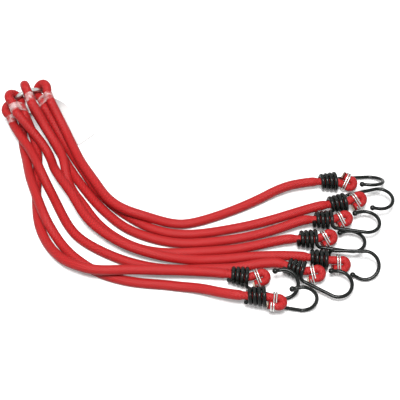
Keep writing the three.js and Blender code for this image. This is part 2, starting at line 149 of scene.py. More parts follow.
# %% Arms
ARMS = [
    dict(fold=3, side=1, heading=1, swivel=147, folded=38, tilt=-28, lift=0, mouth=(100, 13), route=[
        (-128, 79, 20), (-121, 67, 14), (-112, 49, 10), (-106, 36, 9), (-99, 24, 9), (-89, 9, 9), (-81, -5, 9),
        (-71, -15, 9), (-59, -22, 9), (-46, -25, 7), (-33, -27, 3), (-17, -29, 0), (0, -25, 0), (17, -18, 0),
        (34, -11, 1), (51, -2, 2), (64, 5, 4), (76, 10, 5)]),
    dict(fold=3, side=-1, heading=8, swivel=176, folded=218, tilt=-25, lift=4, mouth=(105, -15), route=[
        (-132, 76, 12), (-125, 66, 5), (-117, 53, 1), (-109, 40, 0), (-100, 25, 0), (-90, 9, 0), (-79, -4, 0),
        (-69, -14, 0), (-58, -22, 0), (-45, -31, 0), (-33, -36, 0), (-16, -39, 0), (0, -38, 0), (12, -36, 0),
        (25, -33, 0), (41, -30, 1), (58, -26, 3), (75, -22, 6), (89, -18, 8)]),
    dict(fold=2, side=-1, heading=-3, swivel=-4, folded=218, tilt=-28, lift=2, mouth=(91, -29), route=[
        (-142, 74, 15), (-135, 66, 7), (-128, 55, 2), (-119, 40, 0), (-110, 24, 0), (-99, 8, 0), (-89, -6, 0),
        (-78, -18, 0), (-67, -29, 0), (-58, -35, 0), (-45, -41, 0), (-33, -45, 0), (-16, -48, 0), (0, -47, 0),
        (12, -46, 0), (24, -44, 0), (41, -41, 1), (56, -38, 3), (71, -33, 5)]),
    dict(fold=2, side=1, heading=-3, swivel=-7, folded=218, tilt=-30, lift=0, mouth=(77, -47), route=[
        (-143, 73, 28), (-137, 65, 18), (-130, 55, 12), (-122, 44, 9), (-118, 31, 8), (-116, 18, 2),
        (-109, 5, 0), (-99, -8, 0), (-92, -20, 0), (-84, -30, 0), (-73, -40, 0), (-61, -48, 0), (-48, -54, 0),
        (-32, -57, 0), (-16, -57, 0), (0, -56, 0), (12, -55, 0), (24, -54, 0), (41, -52, 2), (57, -49, 4)]),
    dict(fold=1, side=1, heading=-10, swivel=213, folded=218, tilt=-8, lift=0, mouth=(86, -65), route=[
        (-158, 70, 24), (-150, 64, 16), (-141, 56, 8), (-133, 46, 2), (-130, 35, 2), (-126, 24, 8),
        (-118, 11, 9), (-110, 0, 9), (-104, -11, 9), (-98, -23, 9), (-91, -32, 9), (-83, -40, 9),
        (-72, -48, 9), (-60, -56, 9), (-48, -60, 8), (-32, -64, 6), (-16, -65, 3), (0, -64, 0), (20, -63, 0),
        (40, -61, 1), (55, -61, 2), (69, -62, 4)]),
    dict(fold=0, side=1, heading=-24, swivel=7, folded=218, tilt=-30, lift=0, mouth=(66, -72), route=[
        (-164, 67, 11), (-156, 56, 9), (-148, 44, 9), (-142, 31, 9), (-137, 21, 7), (-132, 12, 2),
        (-127, 4, 0), (-123, -5, 0), (-118, -15, 0), (-113, -25, 0), (-107, -35, 0), (-100, -43, 0),
        (-93, -48, 0), (-85, -53, 0), (-76, -58, 0), (-68, -62, 0), (-58, -66, 0), (-48, -69, 0),
        (-36, -72, 0), (-24, -73, 0), (-12, -73, 0), (0, -73, 0), (12, -72, 0), (24, -72, 0), (38, -71, 2),
        (50, -69, 4)]),
    dict(fold=1, side=-1, heading=-12, swivel=35, folded=218, tilt=-30, lift=0, mouth=(21, -81), route=[
        (-153, 73, 12), (-149, 65, 5), (-147, 57, 2), (-144, 46, 0), (-143, 33, 0), (-142, 19, 0),
        (-141, 6, 0), (-139, -8, 0), (-137, -21, 0), (-133, -34, 0), (-128, -44, 0), (-121, -55, 2),
        (-114, -64, 5), (-106, -71, 7), (-96, -76, 9), (-88, -79, 9), (-78, -80, 9), (-66, -79, 9),
        (-55, -79, 9), (-43, -78, 8), (-31, -79, 8), (-19, -79, 8), (-7, -79, 7), (5, -79, 6)]),
    dict(fold=0, side=-1, heading=-4, swivel=70, folded=182, tilt=4, lift=4, mouth=(33, -103), route=[
        (-160, 74, 5), (-161, 65, 0), (-158, 55, 0), (-154, 43, 1), (-151, 32, 4), (-147, 17, 7), (-142, 5, 9),
        (-138, -6, 9), (-133, -17, 9), (-129, -27, 7), (-124, -34, 3), (-117, -44, 0), (-110, -54, 0),
        (-103, -61, 0), (-94, -68, 0), (-86, -74, 0), (-78, -78, 0), (-69, -81, 0), (-59, -84, 0),
        (-47, -86, 0), (-31, -87, 0), (-16, -89, 0), (-1, -92, 3), (11, -97, 6), (20, -101, 8)]),
]
print(len(ARMS), "arms")

# %% [markdown]
# ## The line of a whole cord
# One cord runs from its folded end through a coil, along an arm, over the ring and back along its other arm. Its
# line is put together from three kinds of stretch: the knot at each end, the free arm, and the crown over the ring.
# Every entry is a point in millimetres and the cord's radius there. A centripetal spline through an arm's points
# passes them all without overshooting, which is how a springy cord lies. It is then eased, and where two stretches
# meet, `soften` moves every point towards the middle of its neighbours, so that no corner is left. Between the coil
# and the clip the tied cord puffs up a little, and its cut end flares past the clip.

# %% Helpers for the ring and the spline
AHEAD = Vector((math.cos(RING_HEADING), math.sin(RING_HEADING), 0))
LATERAL = Vector((-AHEAD.y, AHEAD.x, 0))
RISE = Vector((0, 0, 1)) * math.cos(RING_LEAN) + AHEAD * math.sin(RING_LEAN)
OUTWARD = AHEAD * math.cos(RING_LEAN) - Vector((0, 0, 1)) * math.sin(RING_LEAN)
RING_CENTRE = Vector((*RING_SEAT, RING_WIRE + RING_RADIUS * math.cos(RING_LEAN)))


def fold_frame(number):
    angle = math.radians(FOLD_ANGLES[number])
    radial = LATERAL * math.sin(angle) + RISE * math.cos(angle)
    return RING_CENTRE + radial * RING_RADIUS, radial


def fold_point(number, along, offset):
    seat, radial = fold_frame(number)
    return seat + OUTWARD * along + radial * offset


SPLINE_STEPS = 24


def spline(points, spacing):
    ends = [points[0] * 2 - points[1], *points, points[-1] * 2 - points[-2]]
    dense = []
    for p0, p1, p2, p3 in zip(ends, ends[1:], ends[2:], ends[3:]):
        t1 = math.sqrt((p1 - p0).length)
        t2 = t1 + math.sqrt((p2 - p1).length)
        t3 = t2 + math.sqrt((p3 - p2).length)
        for i in range(SPLINE_STEPS):
            t = t1 + (t2 - t1) * i / SPLINE_STEPS
            a1 = p0 * ((t1 - t) / t1) + p1 * (t / t1)
            a2 = p1 * ((t2 - t) / (t2 - t1)) + p2 * ((t - t1) / (t2 - t1))
            a3 = p2 * ((t3 - t) / (t3 - t2)) + p3 * ((t - t2) / (t3 - t2))
            b1 = a1 * ((t2 - t) / t2) + a2 * (t / t2)
            b2 = a2 * ((t3 - t) / (t3 - t1)) + a3 * ((t - t1) / (t3 - t1))
            dense.append(b1 * ((t2 - t) / (t2 - t1)) + b2 * ((t - t1) / (t2 - t1)))
    dense.append(points[-1])
    return evenly(dense, spacing)


def evenly(points, spacing):
    walked = [0.0]
    for a, b in zip(points, points[1:]):
        walked.append(walked[-1] + (b - a).length)
    count = max(2, round(walked[-1] / spacing))
    result, k = [], 0
    for i in range(count + 1):
        goal = walked[-1] * i / count
        while k < len(points) - 2 and walked[k + 1] < goal:
            k += 1
        share = (goal - walked[k]) / max(walked[k + 1] - walked[k], 1e-9)
        result.append(points[k].lerp(points[k + 1], min(max(share, 0), 1)))
    return result


# %% Frame and knot at the end of an arm
def end_frame(arm):
    place = Matrix.Translation((*arm["mouth"], MOUTH_HEIGHT + arm["lift"]))
    return place @ Matrix.Rotation(math.radians(arm["heading"]), 4, "Z")


def smooth_step(share):
    share = min(max(share, 0), 1)
    return share * share * (3 - 2 * share)


def soften(line, first, last, turns):
    for _ in range(turns):
        for i in range(first, last):
            middle = (line[i - 1][0] + line[i][0] * 2 + line[i + 1][0]) / 4
            line[i] = (middle, line[i][1])


def knot_frame(arm):
    turned = Matrix.Rotation(math.radians(arm["folded"]), 4, "X") @ Matrix.Rotation(math.radians(arm["tilt"]), 4, "Z")
    pivot = Matrix.Translation((COIL_END, 0, 0))
    return end_frame(arm) @ pivot @ turned @ pivot.inverted()


KNOT_STEPS = 30
LOOP_STEPS = 16
TAIL_STEPS = 7
BEND_REACH = 3
BEND_TURNS = 5
PUFF = 0.25
PUFF_RISE = 3
PUFF_START = COIL_END + 1
PUFF_STOP = CLIP_PLACE - 4
FLARE = 0.45
FLARE_RISE = 2.5
FLARE_START = CLIP_PLACE - 2.2


def knot_line(arm):
    straight, tied = end_frame(arm), knot_frame(arm)
    line = []
    for i in range(KNOT_STEPS + 1):
        x = -LEAD_LENGTH + (FOLD_PLACE + LEAD_LENGTH) * i / KNOT_STEPS
        squeeze = smooth_step((x + NECK_LENGTH) / NECK_LENGTH)
        puff = PUFF * smooth_step((x - PUFF_START) / PUFF_RISE) * (1 - smooth_step((x - PUFF_STOP) / PUFF_RISE))
        place = (straight if x < COIL_END else tied) @ Vector((x, 0, 0))
        line.append((place, CORD_RADIUS + (GRIP_RADIUS - CORD_RADIUS) * squeeze + puff))
    bend = round((COIL_END + LEAD_LENGTH) / (FOLD_PLACE + LEAD_LENGTH) * KNOT_STEPS)
    soften(line, bend - BEND_REACH, bend + BEND_REACH + 1, BEND_TURNS)
    for i in range(LOOP_STEPS + 1):
        angle = math.pi * i / LOOP_STEPS
        x = LOOP_PLACE + LOOP_RADIUS * math.sin(angle)
        line.append((tied @ Vector((x, FOLD_RADIUS - LOOP_RADIUS * math.cos(angle), 0)), LOOP_CORD_RADIUS))
    for i in range(TAIL_STEPS + 1):
        x = FOLD_PLACE + (CUT_END - FOLD_PLACE) * i / TAIL_STEPS
        flare = FLARE * smooth_step((FLARE_START - x) / FLARE_RISE)
        line.append((tied @ Vector((x, 2 * FOLD_RADIUS, 0)), GRIP_RADIUS + flare))
    return line


# %% Crown over the ring, free arm, and the whole cord
CROWN_STEPS = 12
CORD_SPACING = 2.5
EASING_TURNS = 24
HEIGHT_TURNS = 8
JOIN_BEFORE = 5
JOIN_AFTER = 4
JOIN_TURNS = 12


def crown_line(number):
    def leg(along):
        share = (1 + math.cos(math.pi * min(along, TAPER_LENGTH) / TAPER_LENGTH)) / 2
        return LEG_OFFSET + (WRAP_RADIUS - LEG_OFFSET) * share

    alongs = [LEG_EXIT * (1 - i / CROWN_STEPS) for i in range(CROWN_STEPS + 1)]
    line = [fold_point(number, along, -leg(along)) for along in alongs]
    for i in range(1, CROWN_STEPS):
        angle = math.pi * i / CROWN_STEPS
        line.append(fold_point(number, -WRAP_RADIUS * math.sin(angle), -WRAP_RADIUS * math.cos(angle)))
    line += [fold_point(number, along, leg(along)) for along in reversed(alongs)]
    return [(point, CORD_RADIUS) for point in line]


def arm_line(arm):
    points = [fold_point(arm["fold"], LEG_EXIT, arm["side"] * LEG_OFFSET)]
    points += [Vector((x, y, LYING_HEIGHT + height)) for x, y, height in arm["route"]]
    points.append(end_frame(arm) @ Vector((-LEAD_LENGTH, 0, 0)))
    line = spline(points, CORD_SPACING)
    for turn in range(EASING_TURNS):
        heights = [point.z for point in line]
        line = [line[0]] + [(a + b * 2 + c) / 4 for a, b, c in zip(line, line[1:], line[2:])] + [line[-1]]
        if turn >= HEIGHT_TURNS:
            for point, height in zip(line, heights):
                point.z = height
    for point in line:
        point.z = max(point.z, LYING_HEIGHT)
    return [(point, CORD_RADIUS) for point in line[1:-1]]


def arm_and_knot(arm):
    free = arm_line(arm)
    line = free + knot_line(arm)
    soften(line, len(free) - JOIN_BEFORE, len(free) + JOIN_AFTER, JOIN_TURNS)
    return line


def cord_line(number):
    inner = next(arm for arm in ARMS if arm["fold"] == number and arm["side"] == -1)
    outer = next(arm for arm in ARMS if arm["fold"] == number and arm["side"] == 1)
    return arm_and_knot(inner)[::-1] + crown_line(number) + arm_and_knot(outer)


for number in range(CORD_COUNT):
    line = [point for point, radius in cord_line(number)]
    print("cord", number + 1, "is", round(sum((b - a).length for a, b in zip(line, line[1:]))), "mm long")

# %% [markdown]
# ## Finishes made from nodes
# Each finish is a small node tree on Blender's Principled shader. `finish` starts one and `add` puts in a node and
# links it, so that a tree reads from its colour to its bump. Patterns read object coordinates in metres, and only
# the braid reads the cord's own UV map, because it has to turn round the cord and run along it.

# %% Node helpers
def finish(name, color, roughness, metallic=0.0):
    material = bpy.data.materials.new(name)
    material.use_nodes = True
    shader = material.node_tree.nodes["Principled BSDF"]
    shader.inputs["Base Color"].default_value = (*color, 1)
    shader.inputs["Roughness"].default_value = roughness
    shader.inputs["Metallic"].default_value = metallic
    return material, material.node_tree, shader


def add(tree, kind, operation=None, **inputs):
    node = tree.nodes.new(kind)
    if operation:
        node.operation = operation
    for key, value in inputs.items():
        socket = node.inputs[int(key[1:])] if key[0] == "_" else node.inputs[key.replace("_", " ")]
        if isinstance(value, bpy.types.NodeSocket):
            tree.links.new(value, socket)
        else:
            socket.default_value = value
    return node


def math_node(tree, operation, first, second=0.0):
    return add(tree, "ShaderNodeMath", operation, _0=first, _1=second).outputs[0]


def mixed(tree, factor, dark, light):
    node = add(tree, "ShaderNodeMix")
    node.data_type = "RGBA"
    colors = [socket for socket in node.inputs if socket.type == "RGBA"]
    tree.links.new(factor, node.inputs[0])
    for socket, color in zip(colors, (dark, light)):
        if isinstance(color, bpy.types.NodeSocket):
            tree.links.new(color, socket)
        else:
            socket.default_value = (*color, 1)
    return next(socket for socket in node.outputs if socket.type == "RGBA")


def bump(tree, shader, height, strength, distance):
    node = add(tree, "ShaderNodeBump", Height=height, Strength=strength, Distance=distance)
    tree.links.new(node.outputs[0], shader.inputs["Normal"])


def object_noise(tree, scale, detail=3.0):
    where = add(tree, "ShaderNodeTexCoord").outputs["Object"]
    return add(tree, "ShaderNodeTexNoise", Vector=where, Scale=scale, Detail=detail).outputs["Fac"]


# %% [markdown]
# ### The braid
# The cover of a bungee cord is braided from many yarns, half of them winding left and half right. On the UV map both
# families are straight stripes, `left` and `right`. A checker made of whole stripe numbers says which family lies on
# top in each diamond, and the yarn's round back gives the height for the bump and a painted shade, darker in the
# grooves between the yarns. There are sixteen yarns each way, and each winds once round the cord in 43 mm, which is
# sixteen steps of 2.7 mm.

# %% Braided cover
YARNS = 16
YARN_STEP = 2.7 * MM
FIBRE_SCALE = 2600
FIBRE_HEIGHT = 0.35
PATCH_SCALE = 60
PATCH_SHARE = 0.35
braid, tree, shader = finish("red braid", (0.62, 0.022, 0.03), roughness=0.5)
cord_map = add(tree, "ShaderNodeUVMap")
cord_map.uv_map = "along and around"
split = add(tree, "ShaderNodeSeparateXYZ", Vector=cord_map.outputs[0])
along = math_node(tree, "DIVIDE", split.outputs[0], YARN_STEP)
around = math_node(tree, "MULTIPLY", split.outputs[1], YARNS)
left = math_node(tree, "ADD", along, around)
right = math_node(tree, "SUBTRACT", along, around)
count = math_node(tree, "ADD", math_node(tree, "FLOOR", left), math_node(tree, "FLOOR", right))
over = math_node(tree, "MODULO", math_node(tree, "ABSOLUTE", count), 2.0)
backs = [math_node(tree, "SINE", math_node(tree, "MULTIPLY", math_node(tree, "FRACT", stripe), math.pi))
         for stripe in (left, right)]
yarn_back = add(tree, "ShaderNodeMix", _0=over, A=backs[0], B=backs[1]).outputs[0]
fibre = object_noise(tree, FIBRE_SCALE, detail=2)
height = math_node(tree, "ADD", yarn_back, math_node(tree, "MULTIPLY", fibre, FIBRE_HEIGHT))
bump(tree, shader, height, strength=0.55, distance=0.3 * MM)
# Painted shade: the red is darkest in the grooves between the yarns and lightest on their round backs.
red_with_painted_groove_shade = mixed(tree, yarn_back, (0.13, 0.003, 0.004), (0.56, 0.017, 0.018))
patchy = mixed(tree, object_noise(tree, PATCH_SCALE), (0.66, 0.5, 0.5), (1.0, 1.0, 1.0))
blend = add(tree, "ShaderNodeMix")
blend.data_type, blend.blend_type = "RGBA", "MULTIPLY"
blend_inputs = [socket for socket in blend.inputs if socket.type == "RGBA"]
blend.inputs[0].default_value = PATCH_SHARE
tree.links.new(red_with_painted_groove_shade, blend_inputs[0])
tree.links.new(patchy, blend_inputs[1])
tree.links.new(next(s for s in blend.outputs if s.type == "RGBA"), shader.inputs["Base Color"])
shader.inputs["Specular IOR Level"].default_value = 0.25
shader.inputs["Sheen Weight"].default_value = 0.03
shader.inputs["Sheen Roughness"].default_value = 0.4
shader.inputs["Sheen Tint"].default_value = (1.0, 0.4, 0.35, 1)
print("red braid:", len(tree.nodes), "nodes")

# %% [markdown]
# ### Wire, film, rubber and card
# The hooks have a dipped black coating, which is smooth with a faint orange peel and a soft gloss. The ring and the
# clips are bright steel with fine drawing marks. The sleeve is a thin film, whitish where it wrinkles. The cut core
# shows pale rubber, and the tag is plain white card.

# %% Other finishes
coating, tree, shader = finish("black wire coating", (0.004, 0.005, 0.0045), roughness=0.3)
bump(tree, shader, object_noise(tree, scale=420), strength=0.25, distance=0.4 * MM)
peel = add(tree, "ShaderNodeMapRange", Value=object_noise(tree, scale=150), To_Min=0.16, To_Max=0.28)
tree.links.new(peel.outputs[0], shader.inputs["Roughness"])
worn = mixed(tree, object_noise(tree, scale=90), (0.0025, 0.0035, 0.003), (0.007, 0.009, 0.008))
tree.links.new(worn, shader.inputs["Base Color"])
shader.inputs["Specular IOR Level"].default_value = 0.2

bright, tree, shader = finish("bright steel", (0.6, 0.6, 0.58), roughness=0.24, metallic=1.0)
drawn = object_noise(tree, scale=900)
bump(tree, shader, drawn, strength=0.12, distance=0.2 * MM)
tree.links.new(mixed(tree, object_noise(tree, scale=130), (0.42, 0.42, 0.4), (0.68, 0.68, 0.66)),
               shader.inputs["Base Color"])
gloss = add(tree, "ShaderNodeMapRange", Value=drawn, To_Min=0.2, To_Max=0.4)
tree.links.new(gloss.outputs[0], shader.inputs["Roughness"])

film, tree, shader = finish("whitish film", (0.9, 0.8, 0.78), roughness=0.22)
milk = add(tree, "ShaderNodeMapRange", Value=object_noise(tree, scale=170, detail=4), From_Min=0.44, From_Max=0.62,
           To_Min=0.03, To_Max=0.4)
tree.links.new(milk.outputs[0], shader.inputs["Alpha"])
bump(tree, shader, object_noise(tree, scale=380, detail=4), strength=0.5, distance=0.6 * MM)
tree.links.new(mixed(tree, object_noise(tree, scale=200), (0.85, 0.56, 0.55), (0.95, 0.82, 0.8)),
               shader.inputs["Base Color"])
shader.inputs["Coat Weight"].default_value = 0.6
shader.inputs["Coat Roughness"].default_value = 0.12

rubber, tree, shader = finish("rubber strands", (0.6, 0.5, 0.37), roughness=0.7)
tree.links.new(mixed(tree, object_noise(tree, scale=700), (0.42, 0.33, 0.23), (0.72, 0.62, 0.48)),
               shader.inputs["Base Color"])
bump(tree, shader, object_noise(tree, scale=1500), strength=0.3, distance=0.2 * MM)

card, tree, shader = finish("white card", (0.71, 0.7, 0.69), roughness=0.5)
tree.links.new(mixed(tree, object_noise(tree, scale=500, detail=5), (0.66, 0.65, 0.64), (0.76, 0.75, 0.74)),
               shader.inputs["Base Color"])
bump(tree, shader, object_noise(tree, scale=1400, detail=4), strength=0.15, distance=0.2 * MM)
print("finishes:", ", ".join(m.name for m in (braid, coating, bright, film, rubber, card)))

# %% [markdown]
# ## The cords
# A tube is a row of rings. Each ring is turned with the line but never twisted about it, so that the braid runs
# straight. The tube gets a UV map of its own, metres along and turns around. Where it would dip below the table it
# is pressed flat, which is what a lying cord does.

# %% Tube with its own map
CORD_SIDES = 24


def tube(name, line, sides, material):
    points = [placed(*point) for point, radius in line]
    radii = [radius * MM for point, radius in line]
    tangents = []
    for i in range(len(points)):
        tangents.append((points[min(i + 1, len(points) - 1)] - points[max(i - 1, 0)]).normalized())
    normal = tangents[0].orthogonal().normalized()
    mesh = bmesh.new()
    map_layer = mesh.loops.layers.uv.new("along and around")
    rings, walked = [], [0.0]
    for i, (point, radius, tangent) in enumerate(zip(points, radii, tangents)):
        if i:
            normal = tangents[i - 1].rotation_difference(tangent) @ normal
            walked.append(walked[-1] + (point - points[i - 1]).length)
        side = tangent.cross(normal)
        ring = []
        for k in range(sides):
            angle = 2 * math.pi * k / sides
            corner = point + (normal * math.cos(angle) + side * math.sin(angle)) * radius
            corner.z = max(corner.z, 0)
            ring.append(mesh.verts.new(corner))
        rings.append(ring)
    for i in range(len(rings) - 1):
        for k in range(sides):
            n = (k + 1) % sides
            face = mesh.faces.new((rings[i][k], rings[i][n], rings[i + 1][n], rings[i + 1][k]))
            face.smooth = True
            shares = (k / sides, (k + 1) / sides, (k + 1) / sides, k / sides)
            for loop, share, j in zip(face.loops, shares, (i, i, i + 1, i + 1)):
                loop[map_layer].uv = (walked[j], share)
    for ring, flip in ((rings[0], True), (rings[-1], False)):
        mesh.faces.new(ring[::-1] if flip else ring)
    data = bpy.data.meshes.new(name)
    mesh.to_mesh(data)
    mesh.free()
    data.materials.append(material)
    return put(name, data), points, walked[-1]


cords = []
for number in range(CORD_COUNT):
    piece, path, length = tube(f"braided_cord_{number + 1}", cord_line(number), CORD_SIDES, braid)
    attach(piece, "cords")
    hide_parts(f"cord_{number + 1}")
    cords.append((piece, path, length))
    print(piece.name, round(length / MM), "mm,", len(piece.data.polygons), "faces")

# %% [markdown]
# ## Wires from one tree
# The hooks, the clips and the ring are all wire bent along a path. One Geometry Nodes tree serves them: it sweeps a
# circle along the path, as thick as the path's own radius at each point, closes the ends and sets the finish. The
# result is turned into a plain mesh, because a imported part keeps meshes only.

# %% Tree that sweeps a wire along a path
wire_tree = bpy.data.node_groups.new("wire along a path", "GeometryNodeTree")
wire_tree.interface.new_socket("Path", in_out="INPUT", socket_type="NodeSocketGeometry")
sides_socket = wire_tree.interface.new_socket("Sides", in_out="INPUT", socket_type="NodeSocketInt")
finish_socket = wire_tree.interface.new_socket("Finish", in_out="INPUT", socket_type="NodeSocketMaterial")
wire_tree.interface.new_socket("Wire", in_out="OUTPUT", socket_type="NodeSocketGeometry")
given = wire_tree.nodes.new("NodeGroupInput")
section = wire_tree.nodes.new("GeometryNodeCurvePrimitiveCircle")
section.inputs["Radius"].default_value = 1.0
thickness = wire_tree.nodes.new("GeometryNodeInputRadius")
sweep = wire_tree.nodes.new("GeometryNodeCurveToMesh")
sweep.inputs["Fill Caps"].default_value = True
smooth = wire_tree.nodes.new("GeometryNodeSetShadeSmooth")
real = wire_tree.nodes.new("GeometryNodeRealizeInstances")
dressed = wire_tree.nodes.new("GeometryNodeSetMaterial")
made = wire_tree.nodes.new("NodeGroupOutput")
link = wire_tree.links.new
link(given.outputs["Path"], sweep.inputs["Curve"])
link(given.outputs["Sides"], section.inputs["Resolution"])
link(section.outputs["Curve"], sweep.inputs["Profile Curve"])
link(thickness.outputs[0], sweep.inputs["Scale"])
link(sweep.outputs["Mesh"], smooth.inputs["Geometry"])
link(smooth.outputs["Geometry"], real.inputs["Geometry"])
link(real.outputs["Geometry"], dressed.inputs["Geometry"])
link(given.outputs["Finish"], dressed.inputs["Material"])
link(dressed.outputs["Geometry"], made.inputs[0])
print("wire tree:", len(wire_tree.nodes), "nodes")


# %% Path in, plain mesh out
SAME_PLACE = 1e-7


def as_mesh(holder, name):
    bpy.context.view_layer.update()
    evaluated = holder.evaluated_get(bpy.context.evaluated_depsgraph_get())
    data = bpy.data.meshes.new_from_object(evaluated)
    bpy.data.objects.remove(holder)
    data.name = name
    shape = bmesh.new()
    shape.from_mesh(data)
    bmesh.ops.remove_doubles(shape, verts=shape.verts, dist=SAME_PLACE)
    if shape.calc_volume(signed=True) < 0:
        bmesh.ops.reverse_faces(shape, faces=shape.faces)
    shape.to_mesh(data)
    shape.free()
    return put(name, data)


def wire(name, line, sides, material, closed=False):
    curve = bpy.data.curves.new(name + " path", "CURVE")
    curve.dimensions = "3D"
    row = curve.splines.new("POLY")
    row.points.add(len(line) - 1)
    for point, (place, radius) in zip(row.points, line):
        point.co = (*placed(*place), 1)
        point.radius = radius * MM
    row.use_cyclic_u = closed
    holder = put(name + " path", curve)
    modifier = holder.modifiers.new("wire", "NODES")
    modifier.node_group = wire_tree
    modifier[sides_socket.identifier] = sides
    modifier[finish_socket.identifier] = material
    return as_mesh(holder, name)


# %% [markdown]
# ## The ring
# A plain closed ring of 4 mm wire stands among the folds. Its path is a circle in the ring's plane.

# %% Ring
RING_STEPS = 96
RING_SIDES = 20
circle = []
for i in range(RING_STEPS):
    angle = 2 * math.pi * i / RING_STEPS
    place = RING_CENTRE + (LATERAL * math.sin(angle) + RISE * math.cos(angle)) * RING_RADIUS
    circle.append((place, RING_WIRE))
ring = wire("steel_ring", circle, RING_SIDES, bright, closed=True)
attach(ring, "ring")
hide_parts("ring")
print("ring:", len(ring.data.polygons), "faces, radius of its wire", RING_WIRE, "mm")

# %% [markdown]
# ## The hooks
# A hook is one wire. It starts as the narrow end of a coil of four turns that widens away from the cord, leaves the
# coil on a short bend into its shank, and ends in an open hook whose tip is a small ball where the coating gathers
# as it drips. The coil's radius grows evenly with the turn, which is all that a cone wound from wire needs. Over the
# coil's last half turn the coating thins to what it is on the shank. The ball's last circle stops just short of its
# pole, so that the cap has a width.

# %% Path of one hook
SHANK_BEND = 4
HOOK_BEND = 11.2
HOOK_PLACE = 44.6
HOOK_TURN = math.radians(200)
TIP_STRAIGHT = 3
TIP_BALL = 2.3
TURN_STEPS = 36
COIL_STEPS = COIL_TURNS * TURN_STEPS
COATING_STEPS = TURN_STEPS // 2
BEND_STEPS = 10
SHANK_STEPS = 8
HOOK_STEPS = 40
BALL_STEPS = 10
POLE_GAP = 0.15
HOOK_SIDES = 16


def hook_line():
    last = math.pi - math.atan(SHANK_BEND / COIL_WIDE_RADIUS)
    first = last - 2 * math.pi * COIL_TURNS
    line = []
    for i in range(COIL_STEPS + 1):
        share = i / COIL_STEPS
        angle = first + (last - first) * share
        radius = COIL_MOUTH_RADIUS + (COIL_WIDE_RADIUS - COIL_MOUTH_RADIUS) * share
        line.append(Vector((COIL_START + (COIL_END - COIL_START) * share,
                            radius * math.cos(angle), radius * math.sin(angle))))
    line.insert(0, line[0] + (line[0] - line[1]).normalized() * HOOK_WIRE / 2)
    coil_end = len(line)
    tangent = Vector((0, -math.sin(last), math.cos(last)))
    start = line[-1].copy()
    for i in range(1, BEND_STEPS + 1):
        angle = math.pi / 2 * i / BEND_STEPS
        line.append(start + tangent * SHANK_BEND * math.sin(angle)
                    + Vector((SHANK_BEND * (1 - math.cos(angle)), 0, 0)))
    shank_start = line[-1].copy()
    shank_end = Vector((HOOK_PLACE, -HOOK_BEND, 0))
    line += [shank_start.lerp(shank_end, i / SHANK_STEPS) for i in range(1, SHANK_STEPS)]
    for i in range(HOOK_STEPS + 1):
        angle = HOOK_TURN * i / HOOK_STEPS - math.pi / 2
        line.append(Vector((HOOK_PLACE + HOOK_BEND * math.cos(angle), HOOK_BEND * math.sin(angle), 0)))
    result = []
    for i, point in enumerate(line):
        thinned = smooth_step((i - coil_end + COATING_STEPS) / COATING_STEPS)
        result.append((point, COIL_ROUND + (SHANK_ROUND - COIL_ROUND) * thinned))
    back = Vector((math.cos(HOOK_TURN), math.sin(HOOK_TURN), 0))
    neck = line[-1] + back * TIP_STRAIGHT
    result.append((neck, SHANK_ROUND))
    begin = math.asin(SHANK_ROUND / TIP_BALL)
    for i in range(1, BALL_STEPS + 1):
        angle = begin + (math.pi - begin) * i / (BALL_STEPS + POLE_GAP)
        shift = TIP_BALL * (math.cos(begin) - math.cos(angle))
        result.append((neck + back * shift, TIP_BALL * math.sin(angle)))
    return result


hook_path = hook_line()
print("hook path:", len(hook_path), "points")

# %% Eight hooks
for number, arm in enumerate(ARMS, 1):
    turned = end_frame(arm) @ Matrix.Rotation(math.radians(arm["swivel"]), 4, "X")
    line = [(turned @ point, radius) for point, radius in hook_path]
    hook = wire(f"coated_hook_{number}", line, HOOK_SIDES, coating)
    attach(hook, f"hook_{number}")
    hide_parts(f"hook_{number}")
    print(hook.name, len(hook.data.polygons), "faces")

# %% [markdown]
# ## The clips
# A clip is two turns of thin bright wire round both strands of a folded end. Seen along the cord it is a racetrack:
# two half circles joined by straight sides. It advances by one pitch in each turn.

# %% Path of a clip and the eight clips
CLIP_STEPS = 14
CLIP_SIDES = 10


def racetrack(half, radius, steps):
    outline = []
    for turn in (0, math.pi):
        for i in range(steps + 1):
            angle = turn - math.pi / 2 + math.pi * i / steps
            centre = half if turn == 0 else -half
            outline.append((centre + radius * math.cos(angle), radius * math.sin(angle)))
    return outline


def clip_line():
    loop = racetrack(FOLD_RADIUS, CLIP_RADIUS, CLIP_STEPS)
    first = CLIP_PLACE - CLIP_TURNS * CLIP_PITCH / 2
    line = []
    for i in range(CLIP_TURNS * len(loop) + 1):
        u, v = loop[i % len(loop)]
        line.append((Vector((first + CLIP_PITCH * i / len(loop), FOLD_RADIUS + u, v)), CLIP_ROUND))
    return line


for number, arm in enumerate(ARMS, 1):
    turned = knot_frame(arm)
    line = [(turned @ point, radius) for point, radius in clip_line()]
    clip = wire(f"wire_clip_{number}", line, CLIP_SIDES, bright)
    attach(clip, "cords")
    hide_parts(f"end_clip_{number}")

# %% [markdown]
# ## The cut ends
# Where a cord is cut, its rubber strands show as a bundle and the braid frays into short bristles. Both are many
# small rods standing on points, so one tree makes them: every point carries the direction `lean` in which its rod
# grows, and each rod gets a slightly different length from a fixed seed. The strands stand in two circles round a
# middle one. A fray is kept shorter where a hook passes close by it when it turns.

